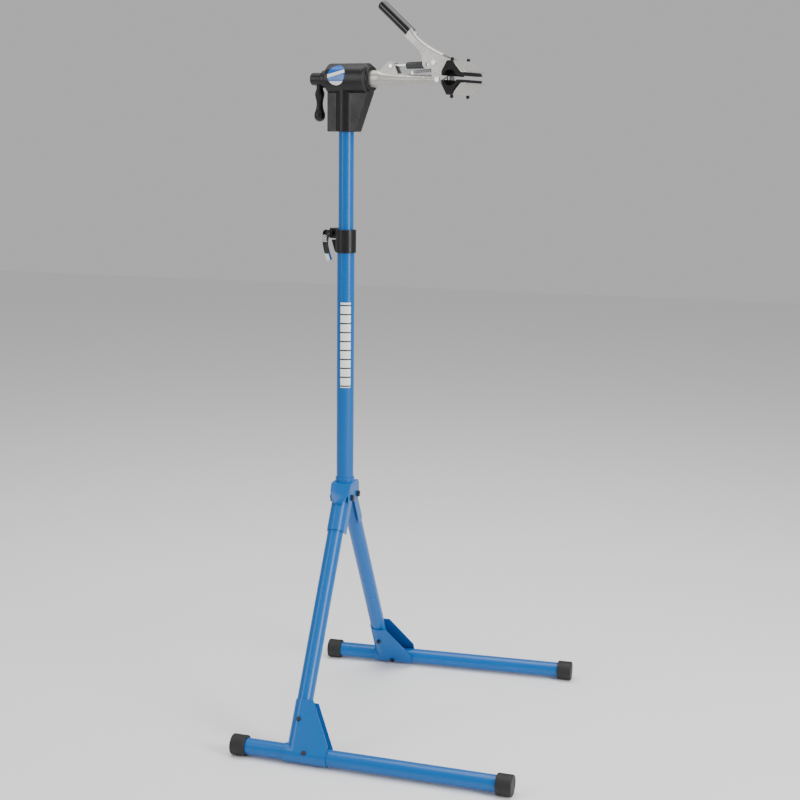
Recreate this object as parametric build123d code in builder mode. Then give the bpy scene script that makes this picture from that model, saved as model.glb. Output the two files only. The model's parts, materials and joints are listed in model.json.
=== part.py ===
from build123d import *
import os
from math import atan2, cos, degrees, hypot, radians, sin, tan

os.makedirs("parts", exist_ok=True)

# Folding bike repair stand with a turning, over-centre clamp.
# Origin on the floor under the mast axis, +X along the floor tubes towards the clamp, +Z up.
# The head, arm and clamp are drawn with the arm along +X, then turned about the mast by HEAD_TURN.

# ---------------------------------------------------------------- driving dimensions (mm, degrees)
# floor tubes and their rubber caps
FLOOR_TUBE_OD = 35.0
TUBE_WALL = 1.5
REAR_REACH = 145.0          # cap end behind the mast
FRONT_REACH = 474.0         # cap end in front of the mast
HALF_SPREAD = 323.5         # mast axis to each floor tube, beside the leg
SPLAY = 2.2                 # each floor tube toes out by this angle
CAP_OD = 45.0
CAP_LENGTH = 34.0
CAP_END = 4.0

# legs
LEG_TUBE_OD = 35.0
PIVOT_HEIGHT = 509.0
CHANNEL_APART = 1.4         # half the space between the two leg channels
PIVOT_BOLT_R = 4.0
CHANNEL_WALL = 2.2
CHANNEL_DROP = 82.0         # channel length below the pivot
FLANGE_DEPTH = 18.0
CHANNEL_FIT = 0.4           # channel bore over the leg tube

# foot brackets
BRACKET_FIT = 0.2
BRACKET_WALL = 2.0
SLEEVE_REAR = 24.0
SLEEVE_FRONT = 74.0
BRACKET_TOP = 112.0
GUSSET_TOP = 23.0
GUSSET_LOW = 22.0
FOOT_BOLT_R = 3.0
FOOT_BOLT_HIGH = 69.0       # bolt through the leg, along the leg
FOOT_BOLT_LOW = 25.0        # bolt through the floor tube, along the tube

# yoke and mast
YOKE_GAP = 0.4              # between the leg channels and the yoke's pocket
YOKE_WALL = 2.2
YOKE_SKIRT = 8.0            # yoke below the leg pivots
YOKE_RISE = 31.0            # shoulder above the leg pivots
YOKE_NECK = 11.0            # neck above the shoulder
SOCKET_DEPTH = 16.0
MAST_OD = 38.1
UPPER_MAST_OD = 33.0
MAST_SHOWN = 335.0          # arm axis above the lower mast's top
MAST_INSERT = 323.0         # upper mast inside the lower one
MAST_SEAT = 35.0            # arm axis above the upper mast's top
SLIDE_FIT = 0.05            # radial running clearance of the sliding mast
BUSH_LENGTH = 60.0

# height collar
COLLAR_SKIRT = 38.5         # collar below the lower mast's top
COLLAR_RISE = 12.0          # collar above the lower mast's top
COLLAR_WALL = 3.45          # collar's skin over the lower mast
COLLAR_GAP = 0.4            # collar throat round the upper mast
COLLAR_TURN = 150.0         # direction of the clamp ears about the mast
EAR_LENGTH = 19.5           # clamp ears beyond the collar's skin
EAR_HALF = 13.0
EAR_DROP = 8.0              # foot of the clamp ears below the lower mast's top
SLIT = 3.0
SKEWER_CLEAR = 10.5         # skewer axis beyond the collar's skin
SKEWER_RISE = 3.0           # skewer above the lower mast's top
SKEWER_R = 2.5
CAM_R = 8.0
CAM_OUT = 25.5
WASHER = 4.0
LEVER_WIDTH = 13.0

# head
HEAD_TURN = -12.0
ARM_HEIGHT = 1430.0
BARREL_R = 33.0
BARREL_REAR = 42.0
BARREL_FRONT = 60.0
BARREL_BORE_R = 21.5
HEAD_DROP = 112.0           # foot of the head below the arm axis
HEAD_SOCKET_R = 22.5
BADGE_R = 21.0
BADGE_BACK = 8.0
BADGE_RISE = 7.0
BADGE_THICK = 0.8
RING_R = 19.0
RING_LENGTH = 16.0
HUB_R = 13.5
HUB_LENGTH = 27.0
DRAW_BOLT_R = 5.0
PIN_FIT = 0.05              # radial clearance of every running pin
LOCK_LEVER_TIP = 91.0       # arm axis to the end of the lock lever

# arm
ARM_R = 18.0
ARM_WALL = 2.4
ARM_REAR = 26.0
ARM_NECK = 84.0
ARM_END = 248.0
ARM_FLAT = 25.0             # width of the arm's flattened front end

# clamp linkage: places along the arm and above the arm axis
JAW_PIVOT = (226.6, -2.4)
HANDLE_PIVOT = (217.8, 32.3)
LINK_FRONT = (200.8, 28.0)
LINK_REAR = (113.5, 26.1)
PLATE = 2.5                 # sheet of the handle, jaw cheeks and clevis
SIDE_GAP = 0.4              # between neighbouring sheets of the linkage
JAW_PIN_R = 4.0
LINK_PIN_R = 3.0
TONGUE_RIVET_R = 2.5
SPRING_PIN_R = 1.8
SPRING_R = 3.3
SPRING_WIRE = 0.6
SLEEVE_R = 7.5
SLEEVE_START = 33.0         # along the link from its rear pin
SLEEVE_LENGTH = 44.0
GRIP_R = 11.0
GRIP_LENGTH = 98.0
GRIP_WALL = 2.5

# jaws
JAW_CENTRE = 272.0
JAW_LENGTH = 94.0
JAW_RIDGE = 34.5            # outer ridge above the jaw's split line
JAW_RIDGE_HALF = 6.5
JAW_SHOULDER = 13.0
JAW_SHOULDER_HALF = 25.5    # front shoulder
JAW_REAR_HALF = 18.5        # rear shoulder, beside the arm
JAW_LIP_HALF = 36.0
COVER_FACE = 4.1            # cover face above the split line
COVER_HALF = 27.0
COVER_LIP = 3.0
COVER_FLARE = 18.5          # end wall's height half-way to its front edge
TUBE_GROOVE_R = 16.0        # bicycle tube held by the jaws
PEG_SPAN = 76.0
PEG_R = 3.0

# ---------------------------------------------------------------- places worked out from them
SIDES = {"left": 1, "right": -1}
leg_r = LEG_TUBE_OD / 2
floor_r = FLOOR_TUBE_OD / 2
channel_in = leg_r + CHANNEL_FIT
channel_out = channel_in + CHANNEL_WALL
pivot_offset = channel_out + CHANNEL_APART
floor_axis = CAP_OD / 2
leg_run = HALF_SPREAD - pivot_offset
leg_rise = PIVOT_HEIGHT - floor_axis
leg_length = hypot(leg_run, leg_rise)
leg_angle = degrees(atan2(leg_run, leg_rise))
pocket_r = channel_out + YOKE_GAP
yoke_half = pocket_r + YOKE_WALL
mast_r = MAST_OD / 2
upper_r = UPPER_MAST_OD / 2
mast_bore = mast_r - TUBE_WALL
collar_r = mast_r + COLLAR_WALL
ear_reach = collar_r + EAR_LENGTH
skewer_out = collar_r + SKEWER_CLEAR
yoke_bottom = PIVOT_HEIGHT - YOKE_SKIRT
yoke_shoulder = PIVOT_HEIGHT + YOKE_RISE
yoke_top = yoke_shoulder + YOKE_NECK
mast_top = ARM_HEIGHT - MAST_SHOWN
upper_mast_bottom = mast_top - MAST_INSERT
upper_mast_top = ARM_HEIGHT - MAST_SEAT
collar_bottom = mast_top - COLLAR_SKIRT
collar_top = mast_top + COLLAR_RISE
ear_bottom = mast_top - EAR_DROP
skewer_height = mast_top + SKEWER_RISE
head_bottom = ARM_HEIGHT - HEAD_DROP


def write(piece, node):
    """Label a finished piece and write it to its own file."""
    piece.label = node
    export_step(piece, f"parts/{node}.step")


def write_turned(piece, node):
    """Write a piece of the head, turned about the mast."""
    write(piece.rotate(Axis.Z, HEAD_TURN), node)


# ================================================================ feet and legs, one set each side
for name, side in SIDES.items():
    along = Vector(cos(radians(SPLAY)), side * sin(radians(SPLAY)), 0)
    crossing = Vector(0, side * HALF_SPREAD, floor_axis)
    pivot = Vector(0, side * pivot_offset, PIVOT_HEIGHT)
    up_leg = (pivot - crossing).normalized()
    across = up_leg.cross(along).normalized() * side
    outward = Vector(0, side * cos(radians(leg_angle)), sin(radians(leg_angle)))
    tube_plane = Plane(origin=crossing, x_dir=(0, 0, 1), z_dir=along)
    leg_plane = Plane(origin=crossing, x_dir=(1, 0, 0), z_dir=up_leg)
    web_plane = Plane(origin=crossing, x_dir=along, z_dir=across * -side)
    top_plane = Plane(origin=pivot, x_dir=(1, 0, 0), z_dir=up_leg)
    side_plane = Plane(origin=pivot, x_dir=outward, z_dir=(side, 0, 0))
    rear = REAR_REACH / cos(radians(SPLAY))
    front = FRONT_REACH / cos(radians(SPLAY))
    bolt_seats = (crossing + along * FOOT_BOLT_LOW, crossing + up_leg * FOOT_BOLT_HIGH)
    low_hole, high_hole = [web_plane.to_local_coords(seat) for seat in bolt_seats]

    # floor tube, drilled for the foot bracket's lower bolt
    with BuildPart() as floor_tube:
        with BuildSketch(tube_plane.offset(CAP_END - rear)):
            Circle(floor_r)
            Circle(floor_r - TUBE_WALL, mode=Mode.SUBTRACT)
        extrude(amount=rear + front - 2 * CAP_END)
        with BuildSketch(web_plane.offset(-CAP_OD)):
            with Locations(low_hole):
                Circle(FOOT_BOLT_R + BRACKET_FIT)
        extrude(amount=2 * CAP_OD, mode=Mode.SUBTRACT)
    write(floor_tube.part, f"{name}_floor_tube")

    # rubber caps: a cup over each end of the floor tube
    for end, start, reach in (("rear", -rear, 1), ("front", front, -1)):
        with BuildPart() as cap:
            with BuildSketch(Plane(origin=tube_plane.origin + along * start, x_dir=(0, 0, 1), z_dir=along * reach)):
                Circle(CAP_OD / 2)
            extrude(amount=CAP_LENGTH)
            fillet(cap.edges().filter_by(GeomType.CIRCLE), 2.5)
            with BuildSketch(Plane(origin=tube_plane.origin + along * (start + reach * CAP_END),
                                   x_dir=(0, 0, 1), z_dir=along * reach)):
                Circle(floor_r)
            extrude(amount=CAP_LENGTH, mode=Mode.SUBTRACT)
        write(cap.part, f"{name}_{end}_cap")

    # foot bracket: a sleeve round the leg and one round the floor tube, joined by two gusset plates
    sleeve_in = max(floor_r, leg_r) + BRACKET_FIT
    sleeve_out = sleeve_in + BRACKET_WALL
    with BuildPart() as foot_bracket:
        with BuildSketch(leg_plane):
            Circle(sleeve_out)
        extrude(amount=BRACKET_TOP)
        with BuildSketch(tube_plane.offset(-SLEEVE_REAR)):
            Circle(sleeve_out)
        extrude(amount=SLEEVE_REAR + SLEEVE_FRONT)
        with BuildSketch(web_plane):
            Polygon((0, 0), (SLEEVE_FRONT, 0), (SLEEVE_FRONT, GUSSET_LOW), (GUSSET_TOP, BRACKET_TOP),
                    (0, BRACKET_TOP), align=None)
        extrude(amount=sleeve_out, both=True)
        with BuildSketch(web_plane):
            Polygon((0, 0), (SLEEVE_FRONT + CAP_OD, 0), (SLEEVE_FRONT + CAP_OD, 2 * BRACKET_TOP),
                    (0, 2 * BRACKET_TOP), align=None)
        extrude(amount=sleeve_in, both=True, mode=Mode.SUBTRACT)
        with BuildSketch(tube_plane.offset(-CAP_OD)):
            Circle(floor_r + BRACKET_FIT)
        extrude(amount=SLEEVE_FRONT + 2 * CAP_OD, mode=Mode.SUBTRACT)
        with BuildSketch(leg_plane):
            Circle(leg_r + BRACKET_FIT)
        extrude(amount=2 * BRACKET_TOP, mode=Mode.SUBTRACT)
        with BuildSketch(web_plane.offset(-CAP_OD)):
            with Locations(low_hole, high_hole):
                Circle(FOOT_BOLT_R + BRACKET_FIT)
        extrude(amount=2 * CAP_OD, mode=Mode.SUBTRACT)
    write(foot_bracket.part, f"{name}_foot_bracket")

    # two through bolts with their nuts, square to the gusset
    with BuildPart() as foot_bolts:
        for seat in bolt_seats:
            head_plane = Plane(origin=seat + across * sleeve_out, x_dir=along, z_dir=across)
            with BuildSketch(head_plane.offset(-2 * sleeve_out - 6)):
                Circle(FOOT_BOLT_R)
            extrude(amount=2 * sleeve_out + 6)
            with BuildSketch(head_plane):
                Circle(5.5)
            extrude(amount=3.0, taper=25)
    write(foot_bolts.part, f"{name}_foot_bolts")
    with BuildPart() as foot_nuts:
        for seat in bolt_seats:
            with BuildSketch(Plane(origin=seat - across * sleeve_out, x_dir=along, z_dir=-across)):
                RegularPolygon(5.0, 6, major_radius=False)
                Circle(FOOT_BOLT_R, mode=Mode.SUBTRACT)
            extrude(amount=4.5)
    write(foot_nuts.part, f"{name}_foot_nuts")

    # leg tube: stops above the floor tube and below the pivot bolt
    with BuildPart() as leg_tube:
        with BuildSketch(leg_plane.offset(floor_r + TUBE_WALL)):
            Circle(leg_r)
            Circle(leg_r - TUBE_WALL, mode=Mode.SUBTRACT)
        extrude(amount=leg_length - floor_r - TUBE_WALL - 3 * PIVOT_BOLT_R)
        with BuildSketch(web_plane.offset(-CAP_OD)):
            with Locations(high_hole):
                Circle(FOOT_BOLT_R + BRACKET_FIT)
        extrude(amount=2 * CAP_OD, mode=Mode.SUBTRACT)
    write(leg_tube.part, f"{name}_leg_tube")

    # leg channel: half-round web outside, flanges inside, top rounded about the pivot
    with BuildPart() as leg_channel:
        with BuildSketch(top_plane.offset(-CHANNEL_DROP)):
            Circle(channel_out)
            with Locations((0, -side * FLANGE_DEPTH / 2)):
                Rectangle(2 * channel_out, FLANGE_DEPTH)
            Circle(channel_in, mode=Mode.SUBTRACT)
            with Locations((0, -side * FLANGE_DEPTH)):
                Rectangle(2 * channel_in, 2 * FLANGE_DEPTH, mode=Mode.SUBTRACT)
        extrude(amount=CHANNEL_DROP + channel_out)
        with BuildSketch(side_plane):
            Circle(channel_out)
            with Locations((0, -CHANNEL_DROP / 2)):
                Rectangle(2.2 * channel_out, CHANNEL_DROP)
        extrude(amount=2 * channel_out, both=True, mode=Mode.INTERSECT)
        with BuildSketch(side_plane):
            Circle(PIVOT_BOLT_R + PIN_FIT)
        extrude(amount=2 * channel_out, both=True, mode=Mode.SUBTRACT)
    write(leg_channel.part, f"{name}_leg_channel")

# ================================================================ yoke, pivot bolts and mast
# yoke: a folded steel shell that holds both leg channels and carries the mast
slant = tan(radians(leg_angle))
wall_low = pivot_offset + (PIVOT_HEIGHT - yoke_bottom) * slant + yoke_half / cos(radians(leg_angle))
wall_high = pivot_offset + (PIVOT_HEIGHT - yoke_shoulder) * slant + yoke_half / cos(radians(leg_angle))
neck_r = mast_r + YOKE_WALL
pocket_low = wall_low + 2 * CHANNEL_DROP
with BuildPart() as yoke:
    with BuildSketch(Plane.YZ):
        Polygon((-wall_low, yoke_bottom), (wall_low, yoke_bottom), (wall_high, yoke_shoulder),
                (neck_r, yoke_shoulder + YOKE_WALL), (-neck_r, yoke_shoulder + YOKE_WALL),
                (-wall_high, yoke_shoulder), align=None)
    extrude(amount=yoke_half, both=True)
    with BuildSketch(Plane.XY.offset(yoke_bottom)):
        RectangleRounded(2 * yoke_half, 2 * wall_low, yoke_half - 0.1)
    extrude(amount=yoke_top, mode=Mode.INTERSECT)
    with BuildSketch(Plane.XY.offset(yoke_shoulder)):
        Circle(neck_r)
    extrude(amount=yoke_top - yoke_shoulder)
    fillet(yoke.edges().filter_by(GeomType.CIRCLE).group_by(Axis.Z)[-1], 1.0)
    # pockets for the leg channels, open below
    with BuildSketch(Plane.YZ) as pocket_outline:
        for side in SIDES.values():
            with Locations((side * pivot_offset, PIVOT_HEIGHT)):
                Circle(pocket_r)
            Polygon((side * (pivot_offset + pocket_r * cos(radians(leg_angle))),
                     PIVOT_HEIGHT + pocket_r * sin(radians(leg_angle))),
                    (side * pocket_low, PIVOT_HEIGHT + pocket_r * sin(radians(leg_angle))
                     - (pocket_low - pivot_offset - pocket_r * cos(radians(leg_angle))) / slant),
                    (side * (pivot_offset - pocket_r + 1), yoke_bottom - 3 * CHANNEL_DROP),
                    (side * (pivot_offset - pocket_r + 1), PIVOT_HEIGHT), align=None)
    extrude(amount=pocket_r, both=True, mode=Mode.SUBTRACT)
    with BuildSketch(Plane.XY.offset(yoke_top - SOCKET_DEPTH)):
        Circle(mast_r)
    extrude(amount=SOCKET_DEPTH, mode=Mode.SUBTRACT)
    with BuildSketch(Plane.YZ.offset(-2 * yoke_half)):
        with Locations((pivot_offset, PIVOT_HEIGHT), (-pivot_offset, PIVOT_HEIGHT)):
            Circle(PIVOT_BOLT_R)
    extrude(amount=4 * yoke_half, mode=Mode.SUBTRACT)
write(yoke.part, "yoke")

with BuildPart() as pivot_bolts:
    for side in SIDES.values():
        with BuildSketch(Plane.YZ.offset(-yoke_half)):
            with Locations((side * pivot_offset, PIVOT_HEIGHT)):
                Circle(PIVOT_BOLT_R)
        extrude(amount=2 * yoke_half + 6)
        with BuildSketch(Plane(origin=(-yoke_half, side * pivot_offset, PIVOT_HEIGHT), x_dir=(0, 1, 0),
                               z_dir=(-1, 0, 0))):
            Circle(1.7 * PIVOT_BOLT_R)
        extrude(amount=4.0, taper=15)
write(pivot_bolts.part, "leg_pivot_bolts")

with BuildPart() as pivot_nuts:
    for side in SIDES.values():
        with BuildSketch(Plane.YZ.offset(yoke_half)):
            with Locations((side * pivot_offset, PIVOT_HEIGHT)):
                RegularPolygon(1.6 * PIVOT_BOLT_R, 6, major_radius=False)
                Circle(PIVOT_BOLT_R, mode=Mode.SUBTRACT)
        extrude(amount=5.0)
write(pivot_nuts.part, "leg_pivot_nuts")

with BuildPart() as lower_mast:
    with BuildSketch(Plane.XY.offset(yoke_top - SOCKET_DEPTH)):
        Circle(mast_r)
        Circle(mast_bore, mode=Mode.SUBTRACT)
    extrude(amount=mast_top - yoke_top + SOCKET_DEPTH)
write(lower_mast.part, "lower_mast")

# plastic bush inside the top of the lower mast
with BuildPart() as mast_bush:
    with BuildSketch(Plane.XY.offset(mast_top - BUSH_LENGTH)):
        Circle(mast_bore)
        Circle(upper_r + SLIDE_FIT, mode=Mode.SUBTRACT)
    extrude(amount=BUSH_LENGTH)
write(mast_bush.part, "mast_bush")

with BuildPart() as upper_mast:
    with BuildSketch(Plane.XY.offset(upper_mast_bottom)):
        Circle(upper_r)
        Circle(upper_r - TUBE_WALL, mode=Mode.SUBTRACT)
    extrude(amount=upper_mast_top - upper_mast_bottom)
write(upper_mast.part, "upper_mast")

# plug that guides the upper mast's lower end inside the lower mast
with BuildPart() as mast_guide:
    with BuildSketch(Plane.XY.offset(upper_mast_bottom - 14)):
        Circle(mast_bore - 2 * SLIDE_FIT)
    extrude(amount=14)
    with BuildSketch(Plane.XY.offset(upper_mast_bottom)):
        Circle(upper_r - TUBE_WALL)
    extrude(amount=20)
    with BuildSketch(Plane.XY.offset(upper_mast_bottom - 14)):
        Circle(upper_r - 2 * TUBE_WALL - 1)
    extrude(amount=40, mode=Mode.SUBTRACT)
write(mast_guide.part, "mast_guide")

# ================================================================ height collar and quick release
collar_out = Plane(origin=(0, 0, 0), x_dir=(cos(radians(COLLAR_TURN)), sin(radians(COLLAR_TURN)), 0),
                   z_dir=(0, 0, 1))
ear_top = collar_top + 2.0
with BuildPart() as collar:
    with BuildSketch(Plane.XY.offset(collar_bottom)):
        Circle(collar_r)
    extrude(amount=collar_top - collar_bottom)
    fillet(collar.edges().filter_by(GeomType.CIRCLE), 1.2)
    # clamp ears
    with BuildSketch(collar_out.offset(ear_bottom)):
        with Locations((ear_reach / 2, 0)):
            RectangleRounded(ear_reach, 2 * EAR_HALF, 4.0)
    extrude(amount=ear_top - ear_bottom)
    # guard rib under the ears, narrowing downwards
    with BuildSketch(Plane(origin=(0, 0, 0), x_dir=collar_out.x_dir, z_dir=-collar_out.y_dir)):
        Polygon((0, collar_bottom + 1), (collar_r + 3, collar_bottom + 1), (ear_reach - 6, ear_bottom - 6),
                (ear_reach - 6, ear_bottom - 3.5), (0, ear_bottom - 3.5), align=None)
    extrude(amount=EAR_HALF - 3, both=True)
    # bore for the lower mast, throat for the upper mast
    with BuildSketch(Plane.XY.offset(collar_bottom)):
        Circle(mast_r)
    extrude(amount=mast_top - collar_bottom, mode=Mode.SUBTRACT)
    with BuildSketch(Plane.XY.offset(mast_top)):
        Circle(upper_r + COLLAR_GAP)
    extrude(amount=2 * CAP_LENGTH, mode=Mode.SUBTRACT)
    # slit between the ears, and the slot that frees them from the rib
    with BuildSketch(collar_out.offset(ear_bottom - 3.5)):
        with Locations((ear_reach, 0)):
            Rectangle(2 * ear_reach, SLIT)
    extrude(amount=2 * CAP_LENGTH, mode=Mode.SUBTRACT)
    with BuildSketch(Plane(origin=(0, 0, 0), x_dir=collar_out.x_dir, z_dir=-collar_out.y_dir)):
        with Locations((ear_reach, ear_bottom - 1.75)):
            Rectangle(2 * (ear_reach - 15), 3.5)
    extrude(amount=ear_reach, both=True, mode=Mode.SUBTRACT)
    with BuildSketch(Plane(origin=(0, 0, skewer_height), x_dir=collar_out.x_dir, z_dir=collar_out.y_dir)):
        with Locations((skewer_out, 0)):
            Circle(SKEWER_R + 0.3)
    extrude(amount=ear_reach, both=True, mode=Mode.SUBTRACT)
write(collar.part, "height_collar")

# quick-release parts lie on a line square to the ears; the lever's hub turns on the skewer's cross-pin
skewer_point = collar_out.from_local_coords((skewer_out, 0, skewer_height))
skewer_plane = Plane(origin=skewer_point, x_dir=collar_out.x_dir, z_dir=collar_out.y_dir)
hub_plane = Plane(origin=skewer_point + collar_out.y_dir * CAM_OUT, x_dir=collar_out.y_dir,
                  z_dir=collar_out.x_dir)
pin_r = SKEWER_R + 1.0
with BuildPart() as skewer:
    with BuildSketch(skewer_plane.offset(-EAR_HALF - 9)):
        Circle(SKEWER_R)
    extrude(amount=EAR_HALF + 9 + CAM_OUT)
    with BuildSketch(hub_plane):
        Circle(pin_r)
    extrude(amount=LEVER_WIDTH / 2, both=True)
write(skewer.part, "release_skewer")

with BuildPart() as release_nut:
    with BuildSketch(skewer_plane.offset(-EAR_HALF - 8)):
        Circle(7.5)
        Circle(SKEWER_R, mode=Mode.SUBTRACT)
    extrude(amount=8)
    with BuildSketch(skewer_plane.offset(-EAR_HALF - 8)):
        with PolarLocations(8.2, 10):
            Circle(1.5)
    extrude(amount=5, mode=Mode.SUBTRACT)
write(release_nut.part, "release_nut")

with BuildPart() as cam_washer:
    with BuildSketch(skewer_plane.offset(EAR_HALF)):
        Circle(7.0)
        Circle(SKEWER_R + 0.1, mode=Mode.SUBTRACT)
    extrude(amount=WASHER)
write(cam_washer.part, "cam_washer")

with BuildPart() as release_lever:
    with BuildSketch(hub_plane):
        Circle(CAM_R)
    extrude(amount=LEVER_WIDTH / 2, both=True)
    # curved blade hanging from the hub, its tip turned in towards the mast
    blade = [(CAM_R * 0.95, 2), (CAM_R + 1.0, -14), (CAM_R - 3.0, -36), (-3.0, -60)]
    with BuildSketch(hub_plane):
        with BuildLine():
            outer = Spline(*blade)
            inner = Spline((-9.0, -57), (-0.5, -36), (CAM_R - 5.5, -20), (0, -CAM_R * 0.9))
            Line(outer @ 1, inner @ 0)
            Line(inner @ 1, (0, 0))
            Line((0, 0), outer @ 0)
        make_face()
    extrude(amount=LEVER_WIDTH / 2, both=True)
    with BuildSketch(hub_plane):
        Circle(pin_r + PIN_FIT)
    extrude(amount=LEVER_WIDTH, both=True, mode=Mode.SUBTRACT)
    # slot that lets the skewer stand still while the lever swings
    with BuildSketch(hub_plane):
        with Locations((0, CAM_R)):
            Rectangle(4 * CAM_R, 2 * CAM_R + 2 * (SKEWER_R + 0.5))
    extrude(amount=SKEWER_R + 0.5, both=True, mode=Mode.SUBTRACT)
write(release_lever.part, "release_lever")

# ================================================================ head on top of the upper mast
def arm_section(place, rise=0.0):
    """Plane square to the arm at a distance from the mast axis."""
    return Plane(origin=(place, 0, ARM_HEIGHT + rise), x_dir=(0, 1, 0), z_dir=(1, 0, 0))


side_view = Plane(origin=(0, 0, ARM_HEIGHT), x_dir=(1, 0, 0), z_dir=(0, -1, 0))
drop = head_bottom - ARM_HEIGHT
with BuildPart() as head:
    with BuildSketch(arm_section(-BARREL_REAR)):
        Circle(BARREL_R)
    extrude(amount=BARREL_REAR + BARREL_FRONT)
    chamfer(head.edges().filter_by(GeomType.CIRCLE), 5.0)
    with BuildSketch(Plane.XY.offset(head_bottom)):
        Circle(HEAD_SOCKET_R)
    extrude(amount=-drop)
    # web in the arm's plane: upright behind the mast, slanted in front of it
    with BuildSketch(side_view):
        Polygon((-BARREL_REAR + 2, drop), (HEAD_SOCKET_R + 6, drop), (BARREL_FRONT, -BARREL_R + 4),
                (BARREL_FRONT, -BARREL_R / 2), (-BARREL_REAR + 2, -BARREL_R / 2), align=None)
    extrude(amount=HEAD_SOCKET_R * 0.62, both=True)
    fillet(head.faces().sort_by(Axis.Z)[0].edges(), 1.5)
    with BuildSketch(arm_section(-BARREL_REAR + 10)):
        Circle(BARREL_BORE_R)
    extrude(amount=BARREL_REAR + BARREL_FRONT, mode=Mode.SUBTRACT)
    with BuildSketch(arm_section(-2 * BARREL_REAR)):
        Circle(DRAW_BOLT_R + 1.5)
    extrude(amount=2 * BARREL_REAR, mode=Mode.SUBTRACT)
    with BuildSketch(Plane.XY.offset(head_bottom)):
        Circle(upper_r)
    extrude(amount=upper_mast_top - head_bottom, mode=Mode.SUBTRACT)
write_turned(head.part, "head_housing")

with BuildPart() as badge:
    with BuildSketch(arm_section(-BADGE_BACK - 2 * BADGE_R)):
        Circle(BARREL_R + BADGE_THICK)
        Circle(BARREL_R, mode=Mode.SUBTRACT)
    extrude(amount=4 * BADGE_R)
    with BuildSketch(side_view):
        with Locations((-BADGE_BACK, BADGE_RISE)):
            Circle(BADGE_R)
    extrude(amount=2 * BARREL_R, mode=Mode.INTERSECT)
write_turned(badge.part, "head_badge")

for node, start, length, flange in (("arm_bush_front", BARREL_FRONT - 24, 24, 4.0),
                                    ("arm_bush_rear", -BARREL_REAR + 10, 20, 0.0)):
    with BuildPart() as arm_bush:
        with BuildSketch(arm_section(start)):
            Circle(BARREL_BORE_R)
        extrude(amount=length)
        if flange:
            with BuildSketch(arm_section(start + length)):
                Circle(BARREL_R - 6)
            extrude(amount=flange)
            fillet(arm_bush.edges().group_by(Axis.X)[-1], 1.2)
        with BuildSketch(arm_section(start)):
            Circle(ARM_R + PIN_FIT)
        extrude(amount=2 * length, mode=Mode.SUBTRACT)
    write_turned(arm_bush.part, node)

with BuildPart() as thrust_ring:
    with BuildSketch(arm_section(-BARREL_REAR - RING_LENGTH)):
        Circle(RING_R)
        Circle(DRAW_BOLT_R + 1.0, mode=Mode.SUBTRACT)
    extrude(amount=RING_LENGTH)
    chamfer(thrust_ring.edges().group_by(Axis.X)[0].sort_by(SortBy.LENGTH)[-1], 2.0)
write_turned(thrust_ring.part, "thrust_ring")

# ================================================================ lock lever and draw bolt
hub_front = -BARREL_REAR - RING_LENGTH - 0.5
lever_place = hub_front - 9.0
with BuildPart() as lock_lever:
    with BuildSketch(arm_section(hub_front - HUB_LENGTH)):
        Circle(HUB_R)
    extrude(amount=HUB_LENGTH)
    fillet(lock_lever.edges().filter_by(GeomType.CIRCLE), 1.5)
    lever_axis = Axis((lever_place, 0, ARM_HEIGHT), (0, 0, 1))
    with BuildSketch(Plane(origin=(lever_place, 0, ARM_HEIGHT), x_dir=(1, 0, 0), z_dir=(0, -1, 0))):
        with BuildLine():
            Line((0, 0), (7.5, 0))
            Line((7.5, 0), (7.5, -19))
            blade_edge = Spline((7.5, -19), (10.2, -29), (7.2, -50), (10.6, -70), (12.0, 12 - LOCK_LEVER_TIP),
                                tangents=((0, -1), (0, -1)))
            RadiusArc(blade_edge @ 1, (0, -LOCK_LEVER_TIP), 12)
            Line((0, -LOCK_LEVER_TIP), (0, 0))
        make_face()
    revolve(axis=lever_axis)
    with BuildSketch(arm_section(hub_front - HUB_LENGTH + 4)):
        Circle(DRAW_BOLT_R + PIN_FIT)
    extrude(amount=2 * HUB_LENGTH, mode=Mode.SUBTRACT)
write_turned(lock_lever.part, "lock_lever")

plug_length = 12.0
with BuildPart() as arm_plug:
    with BuildSketch(arm_section(-ARM_REAR)):
        Circle(ARM_R - ARM_WALL)
        Circle(DRAW_BOLT_R, mode=Mode.SUBTRACT)
    extrude(amount=plug_length)
write_turned(arm_plug.part, "arm_plug")

with BuildPart() as draw_bolt:
    with BuildSketch(arm_section(hub_front - HUB_LENGTH + 5)):
        Circle(DRAW_BOLT_R)
    extrude(amount=HUB_LENGTH - 5 - hub_front - ARM_REAR + plug_length)
    with BuildSketch(arm_section(plug_length - ARM_REAR)):
        RegularPolygon(8.0, 6, major_radius=False)
    extrude(amount=6.0)
write_turned(draw_bolt.part, "draw_bolt")

# ================================================================ arm
tongue_rivet_place = (JAW_PIVOT[0] + 11.0, JAW_PIVOT[1])
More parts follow.
